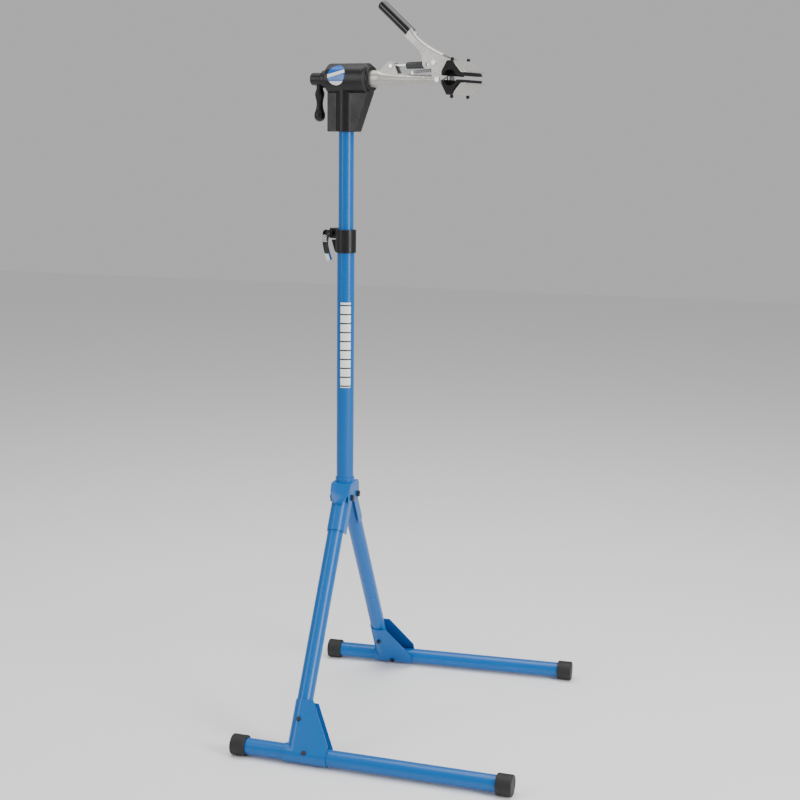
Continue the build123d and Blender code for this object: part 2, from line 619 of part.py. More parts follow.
# (place, half width, half height, rise) of the drawn-down tube, from the round neck to the flat end
arm_stations = [(ARM_NECK, ARM_R, ARM_R, 0.0), (108.0, 15.6, 14.2, -1.2), (132.0, 14.2, 12.4, -1.9),
                (170.0, 13.2, 10.9, -2.8), (203.0, ARM_FLAT / 2, 10.3, -3.4),
                (ARM_END, ARM_FLAT / 2, 12.2, -4.4)]
with BuildPart() as arm_solid:
    for place, half_width, half_height, rise in arm_stations:
        with BuildSketch(arm_section(place, rise)):
            Ellipse(half_width, half_height)
    loft()
with BuildPart() as arm_bore:
    for place, half_width, half_height, rise in arm_stations:
        with BuildSketch(arm_section(place, rise)):
            Ellipse(half_width - ARM_WALL, half_height - ARM_WALL)
    loft()
with BuildPart() as arm_tube:
    with BuildSketch(arm_section(-ARM_REAR)):
        Circle(ARM_R)
    extrude(amount=ARM_REAR + ARM_NECK)
    add(arm_solid.part)
    add(arm_bore.part, mode=Mode.SUBTRACT)
    with BuildSketch(arm_section(-ARM_REAR)):
        Circle(ARM_R - ARM_WALL)
    extrude(amount=ARM_REAR + ARM_NECK, mode=Mode.SUBTRACT)
    with BuildSketch(side_view):
        with Locations(JAW_PIVOT):
            Circle(JAW_PIN_R)
        with Locations(tongue_rivet_place):
            Circle(TONGUE_RIVET_R)
    extrude(amount=ARM_FLAT, both=True, mode=Mode.SUBTRACT)
write_turned(arm_tube.part, "arm_tube")

# clevis: two ears and a front web, seated on the arm
ear_in = SLEEVE_R + SIDE_GAP
ear_out = ear_in + PLATE
with BuildPart() as clevis:
    with BuildSketch(side_view):
        Polygon((ARM_NECK + 1, 8), (ARM_NECK + 1, 15), (LINK_REAR[0] - 9, 34), (LINK_REAR[0] - 1, 36.5),
                (LINK_REAR[0] + 6, 33), (LINK_REAR[0] + 15, 14), (LINK_REAR[0] + 17, 6), align=None)
        fillet(vertices().sort_by(Axis.Y)[-3:], 3.0)
    extrude(amount=ear_out, both=True)
    with BuildSketch(side_view):
        with Locations((LINK_REAR[0] - 15, -BARREL_R)):
            Rectangle(4 * ARM_R, 4 * BARREL_R, align=(Align.MIN, Align.MIN))
    extrude(amount=ear_in, both=True, mode=Mode.SUBTRACT)
    add(arm_solid.part, mode=Mode.SUBTRACT)
    with BuildSketch(side_view):
        with Locations(LINK_REAR):
            Circle(LINK_PIN_R)
    extrude(amount=2 * ear_out, both=True, mode=Mode.SUBTRACT)
write_turned(clevis.part, "arm_clevis")


def rivet(place, shank_r, half_grip, head_r, node):
    """Rivet across the clamp: a shank with a domed head outside each plate."""
    with BuildPart() as piece:
        with BuildSketch(side_view):
            with Locations(place):
                Circle(shank_r)
        extrude(amount=half_grip, both=True)
        for way in (1, -1):
            with BuildSketch(Plane(origin=side_view.origin + Vector(0, way * half_grip, 0), x_dir=(1, 0, 0),
                                   z_dir=(0, way, 0))):
                with Locations((place[0], -way * place[1])):
                    Circle(head_r)
            extrude(amount=1.8, taper=30)
    write_turned(piece.part, node)


rivet(LINK_REAR, LINK_PIN_R, ear_out, LINK_PIN_R + 2, "clevis_rivet")

# ================================================================ adjusting link
link_length = hypot(LINK_FRONT[0] - LINK_REAR[0], LINK_FRONT[1] - LINK_REAR[1])
link_start = Vector(LINK_REAR[0], 0, ARM_HEIGHT + LINK_REAR[1])
link_way = Vector(LINK_FRONT[0] - LINK_REAR[0], 0, LINK_FRONT[1] - LINK_REAR[1]).normalized()
link_side = Plane(origin=link_start, x_dir=link_way, z_dir=(0, -1, 0))
eye_r = 7.0
eye_half = 5.0
rod_r = 3.2
handle_in = SLEEVE_R + 2.0


def link_section(place):
    """Plane square to the link, facing its front end."""
    return Plane(origin=link_start + link_way * place, x_dir=(0, 1, 0), z_dir=link_way)


for node, eye_place, rod_start, rod_end, bore_r in (
        ("link_rear_eye", 0.0, 4.0, SLEEVE_START + 16.0, LINK_PIN_R + PIN_FIT),
        ("link_front_eye", link_length, SLEEVE_START + SLEEVE_LENGTH - 16.0, link_length - 4.0, LINK_PIN_R)):
    with BuildPart() as link_eye:
        with BuildSketch(link_side):
            with Locations((eye_place, 0)):
                Circle(eye_r)
        extrude(amount=eye_half, both=True)
        with BuildSketch(link_section(rod_start)):
            Circle(rod_r)
        extrude(amount=rod_end - rod_start)
        with BuildSketch(link_side):
            with Locations((eye_place, 0)):
                Circle(bore_r)
        extrude(amount=2 * eye_half, both=True, mode=Mode.SUBTRACT)
    write_turned(link_eye.part, node)

# pin pressed in the front eye, seen through the handle's holes
with BuildPart() as link_pin:
    with BuildSketch(link_side):
        with Locations((link_length, 0)):
            Circle(LINK_PIN_R)
    extrude(amount=handle_in - SIDE_GAP, both=True)
write_turned(link_pin.part, "link_pin")

with BuildPart() as adjuster:
    with BuildSketch(link_section(SLEEVE_START)):
        Circle(SLEEVE_R)
    extrude(amount=SLEEVE_LENGTH)
    chamfer(adjuster.edges().filter_by(GeomType.CIRCLE), 2.2)
    with BuildSketch(link_section(SLEEVE_START - 1)):
        Circle(rod_r + PIN_FIT)
    extrude(amount=SLEEVE_LENGTH + 2, mode=Mode.SUBTRACT)
    with BuildSketch(link_section(SLEEVE_START + 5)):
        with PolarLocations(SLEEVE_R + 0.6, 8):
            Circle(1.5)
    extrude(amount=SLEEVE_LENGTH - 10, mode=Mode.SUBTRACT)
write_turned(adjuster.part, "adjuster_sleeve")

# ================================================================ handle and grip
handle_out = handle_in + PLATE
grip_way = Vector(-cos(radians(40.5)), 0, sin(radians(40.5)))
grip_start = Vector(158.0, 0, ARM_HEIGHT + 92.0)
with BuildPart() as handle:
    with BuildSketch(side_view):
        with BuildLine():
            back = Spline((161.0, 103.0), (176.0, 84.5), (203.0, 65.0), (236.0, 49.0))
            Line(back @ 1, (235.0, 44.5))
            toe = ThreePointArc((235.0, 44.5), (227.0, 37.5), (HANDLE_PIVOT[0] + 8.6, HANDLE_PIVOT[1] - 5.0))
            heel = ThreePointArc(toe @ 1, (HANDLE_PIVOT[0] + 1.0, HANDLE_PIVOT[1] - 9.9),
                                 (LINK_FRONT[0] + 2.0, LINK_FRONT[1] - 9.0))
            belly = Spline(heel @ 1, (191.0, 24.5), (188.0, 42.0), (170.0, 67.5), (146.5, 86.0))
            Line(belly @ 1, back @ 0)
        make_face()
    extrude(amount=handle_out, both=True)
    fillet(handle.edges().filter_by(GeomType.BSPLINE).sort_by(Axis.Z)[-2:], 2 * PLATE)
    # hollow underneath: the two cheeks and the back are one folded sheet
    with BuildSketch(side_view):
        with BuildLine():
            hollow = Spline((150.0, 108.0 - 12.0), (172.0, 84.5), (201.0, 63.0), (234.0, 46.8))
            Polyline(hollow @ 1, (240.0, 0.0), (120.0, 0.0), (120.0, 70.0), hollow @ 0)
        make_face()
    extrude(amount=handle_in, both=True, mode=Mode.SUBTRACT)
    # tang that carries the grip
    with BuildSketch(Plane(origin=grip_start - grip_way * 10, x_dir=(0, 1, 0), z_dir=grip_way)):
        RectangleRounded(2 * (GRIP_R - GRIP_WALL) * 0.98, 2 * (GRIP_R - GRIP_WALL) * 0.98, 6.0)
    extrude(amount=10 + GRIP_LENGTH - 6)
    with BuildSketch(side_view):
        with Locations(HANDLE_PIVOT):
            Circle(JAW_PIN_R + PIN_FIT)
        with Locations(LINK_FRONT):
            Circle(LINK_PIN_R + 0.8)
    extrude(amount=2 * handle_out, both=True, mode=Mode.SUBTRACT)
write_turned(handle.part, "clamp_handle")

with BuildPart() as grip:
    with BuildSketch(Plane(origin=grip_start, x_dir=(0, 1, 0), z_dir=grip_way)):
        Circle(GRIP_R)
    extrude(amount=GRIP_LENGTH)
    fillet(grip.edges().group_by(Axis.Z)[-1], 6.0)
    add(handle.part, mode=Mode.SUBTRACT)
write_turned(grip.part, "handle_grip")

# ================================================================ jaws, covers and their rivets
cheek_in = max(handle_out, ARM_FLAT / 2) + SIDE_GAP
cheek_out = cheek_in + PLATE


def jaw_outline(way):
    """Outer line of a jaw plate, rear edge to front lip; way is 1 for the upper jaw and -1 for the lower."""
    return [(JAW_CENTRE + x, way * z) for x, z in (
        (-JAW_REAR_HALF, JAW_SHOULDER), (-JAW_RIDGE_HALF, JAW_RIDGE), (JAW_RIDGE_HALF, JAW_RIDGE),
        (JAW_SHOULDER_HALF, JAW_SHOULDER), (JAW_LIP_HALF, JAW_SHOULDER))]


def jaw_sheet(way):
    """Folded plate over one jaw cover, drilled for the cover's pegs."""
    with BuildPart() as sheet:
        with BuildSketch(side_view):
            with BuildLine():
                Polyline(*jaw_outline(way))
                offset(amount=PLATE, side=Side.RIGHT if way > 0 else Side.LEFT)
            make_face()
        extrude(amount=JAW_LENGTH / 2, both=True)
        with BuildSketch(Plane.XY.offset(ARM_HEIGHT)):
            with Locations((JAW_CENTRE, -PEG_SPAN / 2), (JAW_CENTRE, PEG_SPAN / 2)):
                Circle(PEG_R)
        extrude(amount=way * 2 * JAW_RIDGE, mode=Mode.SUBTRACT)
    return sheet.part


def jaw_cover(way, jaw):
    """Rubber cover: fills the plate, laps its ends, and is held by pegs through the ridge."""
    outline = jaw_outline(way)
    with BuildPart() as cover:
        with BuildSketch(side_view):
            Polygon(*outline[:4], (JAW_CENTRE + JAW_SHOULDER_HALF, way * COVER_FACE),
                    (JAW_CENTRE - JAW_REAR_HALF, way * COVER_FACE), align=None)
            with Locations((JAW_CENTRE, way * (COVER_FACE + JAW_SHOULDER - PLATE) / 2)):
                Rectangle(COVER_HALF, JAW_SHOULDER - PLATE - COVER_FACE, align=(Align.MIN, Align.CENTER))
        extrude(amount=JAW_LENGTH / 2, both=True)
        add(jaw, mode=Mode.SUBTRACT)
        # end walls over the plate's edges
        for end in (1, -1):
            with BuildSketch(Plane(origin=side_view.origin + Vector(0, end * JAW_LENGTH / 2, 0), x_dir=(1, 0, 0),
                                   z_dir=(0, -1, 0))):
                with BuildLine():
                    flare = ThreePointArc(outline[2], (JAW_CENTRE + COVER_HALF / 2, way * COVER_FLARE),
                                          (JAW_CENTRE + COVER_HALF, way * (COVER_FACE + COVER_LIP)))
                    Polyline(flare @ 1, (JAW_CENTRE + COVER_HALF, way * COVER_FACE),
                             (JAW_CENTRE - JAW_REAR_HALF, way * COVER_FACE), *outline[:3])
                make_face()
            extrude(amount=-end * COVER_LIP)
        for end in (1, -1):
            with BuildSketch(Plane(origin=(JAW_CENTRE, end * PEG_SPAN / 2, ARM_HEIGHT + way * (JAW_RIDGE - 5)),
                                   z_dir=(0, 0, way))):
                Circle(PEG_R)
            extrude(amount=8.0)
            with Locations((JAW_CENTRE, end * PEG_SPAN / 2, ARM_HEIGHT + way * (JAW_RIDGE + PEG_R + 0.2))):
                Sphere(PEG_R + 0.8)
        add(jaw, mode=Mode.SUBTRACT)
        # round groove for the bicycle tube
        with BuildSketch(side_view):
            with Locations((JAW_CENTRE, 0)):
                Circle(TUBE_GROOVE_R)
        extrude(amount=JAW_LENGTH, both=True, mode=Mode.SUBTRACT)
    return cover.part


with BuildPart() as upper_jaw:
    add(jaw_sheet(1))
    with BuildSketch(side_view):
        with BuildLine():
            Polyline((HANDLE_PIVOT[0] - 7.5, JAW_RIDGE + 15), (JAW_PIVOT[0] - 13, JAW_PIVOT[1] + 7),
                     (JAW_PIVOT[0] - 6, JAW_PIVOT[1] - 6), (JAW_PIVOT[0] + 3, JAW_PIVOT[1] - 7.5),
                     (JAW_PIVOT[0] + 8, JAW_PIVOT[1] - 2), (JAW_CENTRE - JAW_REAR_HALF - 2, COVER_FACE + 1),
                     (JAW_CENTRE - JAW_REAR_HALF + 0.4, JAW_SHOULDER - PLATE / 2),
                     (JAW_CENTRE - JAW_RIDGE_HALF + 0.6, JAW_RIDGE - PLATE / 2),
                     (JAW_CENTRE - JAW_RIDGE_HALF - 3, JAW_RIDGE + 2), (HANDLE_PIVOT[0] + 6, JAW_RIDGE + 15),
                     close=True)
        make_face()
        fillet(vertices().sort_by(Axis.X)[:3], 2.5)
    extrude(amount=cheek_out, both=True)
    # space for the handle and the arm's end between the cheeks
    with BuildSketch(side_view):
        with Locations((JAW_CENTRE - JAW_REAR_HALF - 1.0, 0)):
            Rectangle(4 * JAW_LIP_HALF, 6 * JAW_RIDGE, align=(Align.MAX, Align.CENTER))
    extrude(amount=cheek_in, both=True, mode=Mode.SUBTRACT)
    with BuildSketch(side_view):
        Polygon((JAW_CENTRE - JAW_REAR_HALF - 1.1, JAW_SHOULDER), (JAW_CENTRE - JAW_REAR_HALF, JAW_SHOULDER),
                (JAW_CENTRE - JAW_RIDGE_HALF, JAW_RIDGE), (JAW_CENTRE, JAW_RIDGE), (JAW_CENTRE, 3 * JAW_RIDGE),
                (JAW_CENTRE - JAW_REAR_HALF - 1.1, 3 * JAW_RIDGE), align=None)
    extrude(amount=cheek_in, both=True, mode=Mode.SUBTRACT)
    with BuildSketch(side_view):
        with Locations(JAW_PIVOT):
            Circle(JAW_PIN_R + PIN_FIT)
        with Locations(HANDLE_PIVOT):
            Circle(JAW_PIN_R)
    extrude(amount=2 * cheek_out, both=True, mode=Mode.SUBTRACT)
write_turned(upper_jaw.part, "upper_jaw")
write_turned(jaw_cover(1, upper_jaw.part), "upper_jaw_cover")

web_back = JAW_CENTRE - JAW_REAR_HALF - 0.3
rear_edge = Vector(JAW_CENTRE - JAW_REAR_HALF, -JAW_SHOULDER)
rear_slope = Vector(JAW_REAR_HALF - JAW_RIDGE_HALF, JAW_SHOULDER - JAW_RIDGE).normalized() * PLATE
web_root = rear_edge + (rear_slope + Vector(-rear_slope.Y, rear_slope.X)) / 2
web_heel = rear_edge + rear_slope
with BuildPart() as lower_jaw:
    add(jaw_sheet(-1))
    # web and tongue that join the plate to the arm
    with BuildSketch(side_view):
        Polygon((web_back - PLATE, COVER_FACE - 0.7), (web_back, COVER_FACE - 0.7), (web_back, -COVER_FACE),
                (web_root.X, web_root.Y), (web_heel.X, web_heel.Y), (web_back - PLATE, -JAW_SHOULDER), align=None)
    extrude(amount=ARM_FLAT / 2, both=True)
    with BuildPart(mode=Mode.PRIVATE) as tongue:
        add(arm_bore.part)
        with BuildSketch(side_view):
            with Locations((web_back - 1, 0)):
                Rectangle(web_back - JAW_PIVOT[0] + 12, 2 * ARM_R, align=(Align.MAX, Align.CENTER))
        extrude(amount=6.0, both=True, mode=Mode.INTERSECT)
    add(tongue.part)
    with BuildSketch(side_view):
        with Locations((web_back - 1, JAW_PIVOT[1])):
            Rectangle(web_back - ARM_END + 2, 10, align=(Align.MAX, Align.CENTER))
    extrude(amount=6.0, both=True)
    with BuildSketch(side_view):
        with Locations(JAW_PIVOT):
            Circle(JAW_PIN_R)
        with Locations(tongue_rivet_place):
            Circle(TONGUE_RIVET_R)
    extrude(amount=ARM_FLAT, both=True, mode=Mode.SUBTRACT)
write_turned(lower_jaw.part, "lower_jaw")
write_turned(jaw_cover(-1, lower_jaw.part), "lower_jaw_cover")

rivet(JAW_PIVOT, JAW_PIN_R, cheek_out + SIDE_GAP, JAW_PIN_R + 2.5, "jaw_pivot_rivet")
rivet(HANDLE_PIVOT, JAW_PIN_R, cheek_out, JAW_PIN_R + 2.5, "handle_rivet")
with BuildPart() as tongue_rivet:
    with BuildSketch(side_view):
        with Locations(tongue_rivet_place):
            Circle(TONGUE_RIVET_R)
    extrude(amount=ARM_FLAT / 2, both=True)
write_turned(tongue_rivet.part, "tongue_rivet")

# ================================================================ return spring
spring_end = (JAW_PIVOT[0] - 13.6, JAW_PIVOT[1] + 19.4)
spring_foot = (LINK_REAR[0] + 47.0, 13.4)
with BuildPart() as spring_pin:
    with BuildSketch(side_view):
        with Locations(spring_end):
            Circle(SPRING_PIN_R)
    extrude(amount=cheek_in, both=True)
write_turned(spring_pin.part, "spring_pin")

with BuildPart() as spring_anchor:
    with BuildSketch(side_view):
        with Locations(spring_foot):
            RectangleRounded(5.0, 8.0, 1.5, align=(Align.CENTER, Align.MAX))
        with Locations(spring_foot):
            Circle(2.5)
    extrude(amount=1.5, both=True)
    add(arm_solid.part, mode=Mode.SUBTRACT)
write_turned(spring_anchor.part, "spring_anchor")

spring_way = Vector(spring_end[0] - spring_foot[0], 0, spring_end[1] - spring_foot[1]).normalized()
spring_length = hypot(spring_end[0] - spring_foot[0], spring_end[1] - spring_foot[1])
spring_start = Vector(spring_foot[0], 0, ARM_HEIGHT + spring_foot[1])
with BuildPart() as spring:
    for start, end, radius in ((2.8, 6.0, SPRING_WIRE), (6.0, spring_length - 8.0, SPRING_R),
                               (spring_length - 8.0, spring_length - SPRING_PIN_R - 0.5, SPRING_WIRE)):
        with BuildSketch(Plane(origin=spring_start + spring_way * start, x_dir=(0, 1, 0), z_dir=spring_way)):
            Circle(radius)
        extrude(amount=end - start)
write_turned(spring.part, "return_spring")
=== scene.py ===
import json
from math import atan2, cos, pi, radians, sin

import bmesh
import bpy
from mathutils import Matrix, Vector


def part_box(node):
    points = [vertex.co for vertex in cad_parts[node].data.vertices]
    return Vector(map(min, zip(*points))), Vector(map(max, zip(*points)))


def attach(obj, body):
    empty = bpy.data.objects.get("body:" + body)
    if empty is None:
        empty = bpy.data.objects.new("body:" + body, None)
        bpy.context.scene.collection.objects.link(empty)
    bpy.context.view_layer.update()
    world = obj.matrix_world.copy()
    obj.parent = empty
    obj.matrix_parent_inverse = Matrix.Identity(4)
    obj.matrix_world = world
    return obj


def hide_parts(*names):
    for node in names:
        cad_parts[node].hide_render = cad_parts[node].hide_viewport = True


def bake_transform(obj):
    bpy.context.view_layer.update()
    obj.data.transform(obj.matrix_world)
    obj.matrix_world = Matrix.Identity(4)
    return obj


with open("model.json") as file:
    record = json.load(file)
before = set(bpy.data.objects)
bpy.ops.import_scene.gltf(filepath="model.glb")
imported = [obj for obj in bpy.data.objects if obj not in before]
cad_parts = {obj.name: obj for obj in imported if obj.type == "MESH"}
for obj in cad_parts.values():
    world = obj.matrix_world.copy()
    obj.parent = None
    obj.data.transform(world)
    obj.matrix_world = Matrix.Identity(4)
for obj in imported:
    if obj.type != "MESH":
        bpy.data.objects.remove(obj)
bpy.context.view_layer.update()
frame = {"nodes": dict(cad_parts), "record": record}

# ---------------------------------------------------------------- camera and studio
# A long lens at chest height, a little to the clamp side, and a white room with
# two tall soft lights that leave the two bright lines down each tube.
camera_data = bpy.data.cameras.new("camera")
camera_data.sensor_width = 36.0
camera_data.lens = 67.3
camera = bpy.data.objects.new("camera", camera_data)
bpy.context.scene.collection.objects.link(camera)
camera_place = Vector((1.0372, -3.1279, 1.3277))
camera_yaw, camera_pitch, camera_roll = 0.283, -0.18, 0.011
camera.matrix_world = (Matrix.Translation(camera_place) @ Matrix.Rotation(camera_yaw, 4, "Z")
                       @ Matrix.Rotation(pi / 2 + camera_pitch, 4, "X")
                       @ Matrix.Rotation(camera_roll, 4, "Z"))
bpy.context.scene.camera = camera

world = bpy.data.worlds.new("studio")
bpy.context.scene.world = world
world.use_nodes = True
backdrop = world.node_tree.nodes["Background"]
backdrop.inputs["Color"].default_value = (1.0, 1.0, 1.0, 1.0)
backdrop.inputs["Strength"].default_value = 0.5

floor_mesh = bpy.data.meshes.new("floor")
floor_build = bmesh.new()
bmesh.ops.create_grid(floor_build, x_segments=1, y_segments=1, size=9.0)
floor_build.to_mesh(floor_mesh)
floor_build.free()
floor = bpy.data.objects.new("floor", floor_mesh)
bpy.context.scene.collection.objects.link(floor)
floor_paint = bpy.data.materials.new("floor_paint")
floor_paint.use_nodes = True
floor_shader = floor_paint.node_tree.nodes["Principled BSDF"]
floor_shader.inputs["Base Color"].default_value = (0.9, 0.9, 0.9, 1.0)
floor_shader.inputs["Roughness"].default_value = 0.9
floor_mesh.materials.append(floor_paint)

for light_name, place, aim, size, power in (
        ("left_softbox", (-2.1, -2.3, 1.9), (0.0, 0.0, 0.9), (0.5, 2.2), 26.0),
        ("right_softbox", (2.9, -1.3, 1.7), (0.0, 0.0, 0.9), (0.6, 2.4), 88.0),
        ("overhead", (0.2, 0.2, 3.6), (0.1, 0.0, 0.6), (2.6, 2.6), 105.0)):
    light_data = bpy.data.lights.new(light_name, "AREA")
    light_data.shape = "RECTANGLE"
    light_data.size, light_data.size_y = size
    light_data.energy = power
    light = bpy.data.objects.new(light_name, light_data)
    bpy.context.scene.collection.objects.link(light)
    light.location = place
    light.rotation_euler = (Vector(aim) - Vector(place)).to_track_quat("-Z", "Y").to_euler()


# ---------------------------------------------------------------- floor tubes, legs and mast
# Round steel tube and folded brackets in one glossy blue powder coat. The coat is thick and
# even, with a faint orange peel and a slightly darker bloom here and there.
def link_group_nodes(tree, *pairs):
    for start, end in pairs:
        tree.links.new(start, end)


grain_group = bpy.data.node_groups.new("surface_grain", "ShaderNodeTree")
for socket, kind in (("Vector", "Vector"), ("Scale", "Float"), ("Coarse", "Float")):
    grain_group.interface.new_socket(socket, in_out="INPUT", socket_type="NodeSocket" + kind)
grain_group.interface.new_socket("Height", in_out="OUTPUT", socket_type="NodeSocketFloat")
grain_in = grain_group.nodes.new("NodeGroupInput")
grain_out = grain_group.nodes.new("NodeGroupOutput")
grain_fine = grain_group.nodes.new("ShaderNodeTexNoise")
grain_fine.inputs["Detail"].default_value = 3.0
grain_wide = grain_group.nodes.new("ShaderNodeTexNoise")
grain_wide.inputs["Scale"].default_value = 55.0
grain_mix = grain_group.nodes.new("ShaderNodeMath")
grain_mix.operation = "MULTIPLY_ADD"
link_group_nodes(grain_group, (grain_in.outputs["Vector"], grain_fine.inputs["Vector"]),
                 (grain_in.outputs["Vector"], grain_wide.inputs["Vector"]),
                 (grain_in.outputs["Scale"], grain_fine.inputs["Scale"]),
                 (grain_wide.outputs["Fac"], grain_mix.inputs[0]),
                 (grain_in.outputs["Coarse"], grain_mix.inputs[1]),
                 (grain_fine.outputs["Fac"], grain_mix.inputs[2]),
                 (grain_mix.outputs["Value"], grain_out.inputs["Height"]))

tone_group = bpy.data.node_groups.new("uneven_tone", "ShaderNodeTree")
for socket, kind in (("Vector", "Vector"), ("Light", "Color"), ("Dark", "Color"),
                     ("Scale", "Float"), ("Smooth", "Float"), ("Rough", "Float")):
    tone_group.interface.new_socket(socket, in_out="INPUT", socket_type="NodeSocket" + kind)
tone_group.interface.new_socket("Color", in_out="OUTPUT", socket_type="NodeSocketColor")
tone_group.interface.new_socket("Roughness", in_out="OUTPUT", socket_type="NodeSocketFloat")
tone_in = tone_group.nodes.new("NodeGroupInput")
tone_out = tone_group.nodes.new("NodeGroupOutput")
tone_noise = tone_group.nodes.new("ShaderNodeTexNoise")
tone_noise.inputs["Detail"].default_value = 5.0
tone_noise.inputs["Roughness"].default_value = 0.62
tone_mix = tone_group.nodes.new("ShaderNodeMix")
tone_mix.data_type = "RGBA"
tone_range = tone_group.nodes.new("ShaderNodeMapRange")
tone_range.inputs["From Min"].default_value = 0.3
tone_range.inputs["From Max"].default_value = 0.7
link_group_nodes(tone_group, (tone_in.outputs["Vector"], tone_noise.inputs["Vector"]),
                 (tone_in.outputs["Scale"], tone_noise.inputs["Scale"]),
                 (tone_noise.outputs["Fac"], tone_mix.inputs["Factor"]),
                 (tone_in.outputs["Light"], tone_mix.inputs["A"]),
                 (tone_in.outputs["Dark"], tone_mix.inputs["B"]),
                 (tone_noise.outputs["Fac"], tone_range.inputs["Value"]),
                 (tone_in.outputs["Smooth"], tone_range.inputs["To Min"]),
                 (tone_in.outputs["Rough"], tone_range.inputs["To Max"]),
                 (tone_mix.outputs["Result"], tone_out.inputs["Color"]),
                 (tone_range.outputs["Result"], tone_out.inputs["Roughness"]))


def make_finish(name, light, dark, tone_scale, smooth, rough, grain_scale, grain_height,
                coarse=0.0, metal=0.0, gloss=0.5):
    """A surface finish: two near tones, a range of roughness, and a fine grain in the normal."""
    material = bpy.data.materials.new(name)
    material.use_nodes = True
    tree = material.node_tree
    shader = tree.nodes["Principled BSDF"]
    shader.inputs["Metallic"].default_value = metal
    shader.inputs["Specular IOR Level"].default_value = gloss
    where = tree.nodes.new("ShaderNodeTexCoord")
    tone = tree.nodes.new("ShaderNodeGroup")
    tone.node_tree = tone_group
    tone.inputs["Light"].default_value = (*light, 1.0)
    tone.inputs["Dark"].default_value = (*dark, 1.0)
    tone.inputs["Scale"].default_value = tone_scale
    tone.inputs["Smooth"].default_value = smooth
    tone.inputs["Rough"].default_value = rough
    grain = tree.nodes.new("ShaderNodeGroup")
    grain.node_tree = grain_group
    grain.inputs["Scale"].default_value = grain_scale
    grain.inputs["Coarse"].default_value = coarse
    bump = tree.nodes.new("ShaderNodeBump")
    bump.inputs["Strength"].default_value = 0.6
    bump.inputs["Distance"].default_value = grain_height
    link_group_nodes(tree, (where.outputs["Object"], tone.inputs["Vector"]),
                     (where.outputs["Object"], grain.inputs["Vector"]),
                     (tone.outputs["Color"], shader.inputs["Base Color"]),
                     (tone.outputs["Roughness"], shader.inputs["Roughness"]),
                     (grain.outputs["Height"], bump.inputs["Height"]),
                     (bump.outputs["Normal"], shader.inputs["Normal"]))
    return material


def place_piece(build, name, body, material, node=None, sharp=35.0):
    """Turn a finished bmesh into a piece that rides on a body, smooth up to the given angle."""
    mesh = bpy.data.meshes.new(name)
    build.to_mesh(mesh)
    build.free()
    mesh.materials.append(material)
    for face in mesh.polygons:
        face.use_smooth = True
    mesh.set_sharp_from_angle(angle=radians(sharp))
    piece = bpy.data.objects.new(name, mesh)
    bpy.context.scene.collection.objects.link(piece)
    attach(piece, body)
    if node:
        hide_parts(node)
    return piece


body_of_node = {node: body
                for body, nodes in frame["record"]["behaviour"]["bodies"].items() for node in nodes}


def dressed_mesh(node):
    """The node's own shape as a clean mesh: merged points, flat faces joined."""
    build = bmesh.new()
    build.from_mesh(frame["nodes"][node].data)
    bmesh.ops.remove_doubles(build, verts=build.verts, dist=0.000003)
    bmesh.ops.dissolve_limit(build, angle_limit=radians(0.3), verts=build.verts, edges=build.edges)
    return build


def break_edges(build, width, segments=2, sharper=32.0, keep=None):
    """Round the edges that turn more than the given angle, as paint or a mould leaves them."""
    edges = [e for e in build.edges
             if len(e.link_faces) == 2 and e.calc_face_angle(0.0) > radians(sharper)
             and (keep is None or keep(e))]
    bmesh.ops.bevel(build, geom=edges, offset=width, segments=segments, profile=0.5, affect="EDGES",
                    clamp_overlap=True, material=-1)


def dress(node, material, edge=0.0004):
    """Show a node as its own shape with broken edges and its finish."""
    build = dressed_mesh(node)
    if edge:
        break_edges(build, edge)
    piece = place_piece(build, node + "_shown", body_of_node[node], material, node)
    weighted = piece.modifiers.new("weighted_normals", "WEIGHTED_NORMAL")
    weighted.keep_sharp = True
    return piece


blue_powder = make_finish("blue_powder_coat", (0.0, 0.112, 0.39), (0.0, 0.102, 0.36), 14.0, 0.27, 0.34,
                          260.0, 0.000012, gloss=0.42)
for side in ("left", "right"):
    for part in ("floor_tube", "leg_tube", "leg_channel", "foot_bracket"):
        dress(f"{side}_{part}", blue_powder, edge=0.0005)
dress("lower_mast", blue_powder)
dress("upper_mast", blue_powder)

# ---------------------------------------------------------------- yoke
# The folded shell under the mast. Its shoulders are pressed round, so the edges between the
# slanted faces and the flanks get a wide radius, and a weld bead runs round the mast.
yoke_low, yoke_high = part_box("yoke")
yoke_build = dressed_mesh("yoke")
shoulder_radius = 0.007
shoulder_x = yoke_high.x - 0.0048
shoulder_foot, shoulder_top = yoke_low.z + 0.001, yoke_high.z - shoulder_radius
break_edges(yoke_build, shoulder_radius, segments=6, sharper=25.0,
            keep=lambda e: all(abs(v.co.x) > shoulder_x and shoulder_foot < v.co.z < shoulder_top
                               for v in e.verts))
yoke = place_piece(yoke_build, "yoke_shown", "stand", blue_powder, "yoke")

bead_build = bmesh.new()
mast_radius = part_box("lower_mast")[1].x
bead_radius, bead_out = 0.0013, 0.0004
bead_ripples, bead_ripple_height = 24, 0.0003
bead = bmesh.ops.create_circle(bead_build, segments=10, radius=bead_radius,
                               matrix=Matrix.Translation((mast_radius + bead_out, 0, yoke_high.z))
                               @ Matrix.Rotation(pi / 2, 4, "X"))
bmesh.ops.spin(bead_build, geom=bead["verts"] + bead_build.edges[:], cent=(0, 0, 0), axis=(0, 0, 1),
               angle=2 * pi, steps=96, use_merge=True)
bmesh.ops.remove_doubles(bead_build, verts=bead_build.verts, dist=0.00001)
for vertex in bead_build.verts:
    turn = atan2(vertex.co.y, vertex.co.x)
    vertex.co.z += bead_ripple_height * sin(bead_ripples * turn)
bmesh.ops.recalc_face_normals(bead_build, faces=bead_build.faces)
mast_bead = place_piece(bead_build, "mast_weld_bead", "stand", blue_powder)

